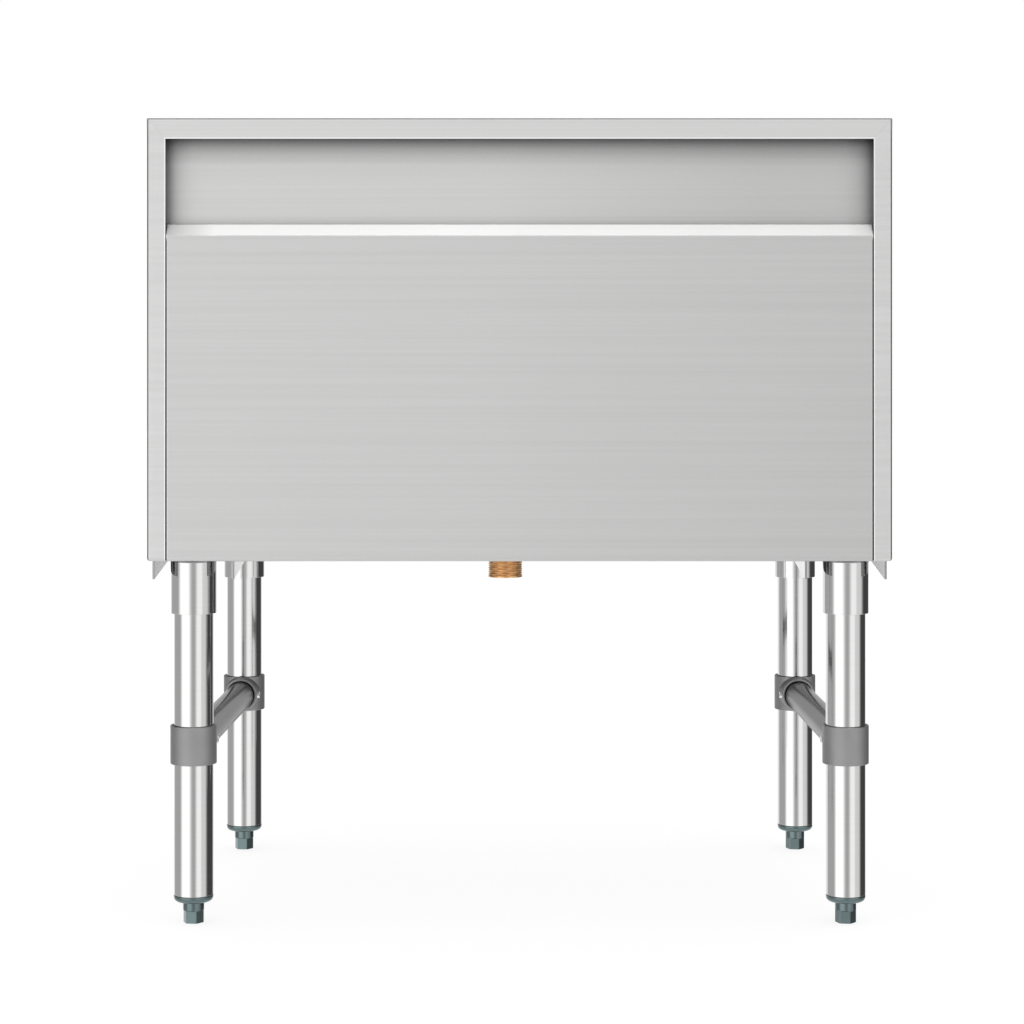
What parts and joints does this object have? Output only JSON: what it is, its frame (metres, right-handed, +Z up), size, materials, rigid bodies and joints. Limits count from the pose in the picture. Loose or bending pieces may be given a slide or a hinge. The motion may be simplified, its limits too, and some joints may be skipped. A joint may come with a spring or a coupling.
{
  "type": "underbar ice bin",
  "caption": "Insulated stainless ice bin on tubular legs, with a coved well and drain, sliding covers on stepped rails, a hollow backsplash and adjustable feet.",
  "frame": {"origin": "on the floor under the middle of the body", "axes": "+Z up, -Y out of the back with the hollow backsplash, +Y towards the user, +X to the right when looked at from the back"},
  "size_m": [0.762, 0.533, 0.835],
  "materials": {
    "brushed_sheet": "stainless sheet, brushed along X",
    "well_sheet": "stainless sheet, finer brushed",
    "galvanised": "galvanised sheet steel",
    "foam": "rigid insulation foam",
    "brass": "turned brass",
    "gasket": "black rubber",
    "tube": "polished stainless tube",
    "socket": "polished stainless cup",
    "collar": "satin casting",
    "screw": "bright steel",
    "foot": "grey moulded plastic"
  },
  "bodies": {
    "bin": {"top_and_backsplash": "brushed_sheet", "left_side_panel": "brushed_sheet", "right_side_panel": "brushed_sheet", "rear_panel": "brushed_sheet", "front_panel": "brushed_sheet", "ice_liner": "well_sheet", "rear_cover_rail": "well_sheet", "front_cover_rail": "well_sheet", "bottom_pan": "galvanised", "rear_left_leg_bracket": "galvanised", "rear_right_leg_bracket": "galvanised", "front_left_leg_bracket": "galvanised", "front_right_leg_bracket": "galvanised", "foam_insulation": "foam", "drain_body": "brass", "drain_locknut": "brass", "drain_gasket": "gasket", "rear_left_leg_tube": "tube", "rear_right_leg_tube": "tube", "front_left_leg_tube": "tube", "front_right_leg_tube": "tube", "left_cross_rail": "tube", "right_cross_rail": "tube", "rear_left_leg_socket": "socket", "rear_right_leg_socket": "socket", "front_left_leg_socket": "socket", "front_right_leg_socket": "socket", "rear_left_collar": "collar", "rear_right_collar": "collar", "front_left_collar": "collar", "front_right_collar": "collar", "rear_left_socket_screw": "screw", "rear_right_socket_screw": "screw", "front_left_socket_screw": "screw", "front_right_socket_screw": "screw", "rear_left_collar_screw": "screw", "rear_right_collar_screw": "screw", "front_left_collar_screw": "screw", "front_right_collar_screw": "screw", "rear_left_foot_insert": "foot", "rear_right_foot_insert": "foot", "front_left_foot_insert": "foot", "front_right_foot_insert": "foot"},
    "left_cover": {"left_cover": "brushed_sheet", "left_cover_pull": "well_sheet"},
    "right_cover": {"right_cover": "brushed_sheet", "right_cover_pull": "well_sheet"},
    "strainer": {"drain_strainer": "screw"},
    "rear_left_foot": {"rear_left_foot": "foot"},
    "rear_right_foot": {"rear_right_foot": "foot"},
    "front_left_foot": {"front_left_foot": "foot"},
    "front_right_foot": {"front_right_foot": "foot"}
  },
  "joints": [
    {"name": "left_cover_slide", "type": "slide", "parent": "bin", "child": "left_cover", "axis": [1, 0, 0], "range_m": [0, 0.315]},
    {"name": "right_cover_slide", "type": "slide", "parent": "bin", "child": "right_cover", "axis": [1, 0, 0], "range_m": [-0.315, 0]},
    {"name": "strainer_lift", "type": "slide", "parent": "bin", "child": "strainer", "axis": [0, 0, 1], "range_m": [0, 0.15]},
    {"name": "rear_left_foot_screw", "type": "slide", "parent": "bin", "child": "rear_left_foot", "axis": [0, 0, -1], "range_m": [0, 0.025]},
    {"name": "rear_right_foot_screw", "type": "slide", "parent": "bin", "child": "rear_right_foot", "axis": [0, 0, -1], "range_m": [0, 0.025]},
    {"name": "front_left_foot_screw", "type": "slide", "parent": "bin", "child": "front_left_foot", "axis": [0, 0, -1], "range_m": [0, 0.025]},
    {"name": "front_right_foot_screw", "type": "slide", "parent": "bin", "child": "front_right_foot", "axis": [0, 0, -1], "range_m": [0, 0.025]}
  ]
}
